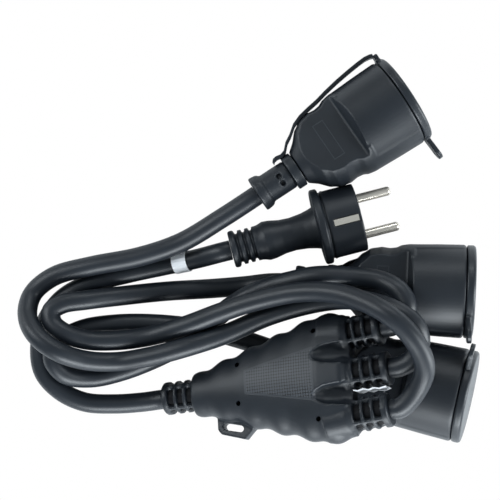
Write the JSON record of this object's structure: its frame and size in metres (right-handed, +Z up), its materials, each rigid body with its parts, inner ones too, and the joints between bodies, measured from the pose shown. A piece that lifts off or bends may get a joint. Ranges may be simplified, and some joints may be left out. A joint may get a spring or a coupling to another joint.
{
  "type": "power cord splitter",
  "caption": "Heavy rubber power cord splitter with an earthed plug, a moulded hub and capped outlet sockets, its cords folded back on themselves.",
  "frame": {"origin": "middle of the underside of the box round the hub and the three sockets, on the surface that the part lies on", "axes": "+X towards the socket mouths, +Y along the row of sockets, +Z up off the surface"},
  "size_m": [0.2425, 0.2016, 0.0784],
  "materials": {
    "rubber": "matt, slightly grey",
    "cap_rubber": "satin",
    "sheath": "satin",
    "plastic": "matt",
    "nickel": "bright nickel plate",
    "brass": "satin",
    "paper": "blank label film"
  },
  "bodies": {
    "splitter": {"hub_body": "rubber", "hub_carrier": "plastic", "splice_live": "brass", "splice_neutral": "brass", "splice_earth": "brass", "flag_label": "paper", "plug_body": "rubber", "plug_bridge": "plastic", "plug_pin_1": "nickel", "plug_pin_2": "nickel", "plug_earth_strip": "nickel", "plug_label": "paper", "socket_a_body": "rubber", "socket_a_insert": "plastic", "socket_a_contact_1": "brass", "socket_a_contact_2": "brass", "socket_a_earth_bow": "nickel", "socket_a_strap": "cap_rubber", "socket_b_body": "rubber", "socket_b_insert": "plastic", "socket_b_contact_1": "brass", "socket_b_contact_2": "brass", "socket_b_earth_bow": "nickel", "socket_b_strap": "cap_rubber", "socket_c_body": "rubber", "socket_c_insert": "plastic", "socket_c_contact_1": "brass", "socket_c_contact_2": "brass", "socket_c_earth_bow": "nickel", "socket_c_strap": "cap_rubber", "plug_cord": "sheath", "cord_a": "sheath", "cord_b": "sheath", "cord_c": "sheath"},
    "cap_a": {"socket_a_cap": "cap_rubber"},
    "cap_b": {"socket_b_cap": "cap_rubber"},
    "cap_c": {"socket_c_cap": "cap_rubber"}
  },
  "joints": [
    {"name": "cap_a_hinge", "type": "hinge", "parent": "splitter", "child": "cap_a", "pos_m": [0.02829, 0.09959, 0.0243], "axis": [0, 0, 1], "range_deg": [0, 120]},
    {"name": "cap_b_hinge", "type": "hinge", "parent": "splitter", "child": "cap_b", "pos_m": [0.07992, -0.00513, 0.00622], "axis": [-0.0343, 0.757, 0.6525], "range_deg": [0, 120]},
    {"name": "cap_c_hinge", "type": "hinge", "parent": "splitter", "child": "cap_c", "pos_m": [0.07409, -0.09661, 0.01207], "axis": [0.3034, 0.6187, -0.7247], "range_deg": [0, 120]}
  ]
}
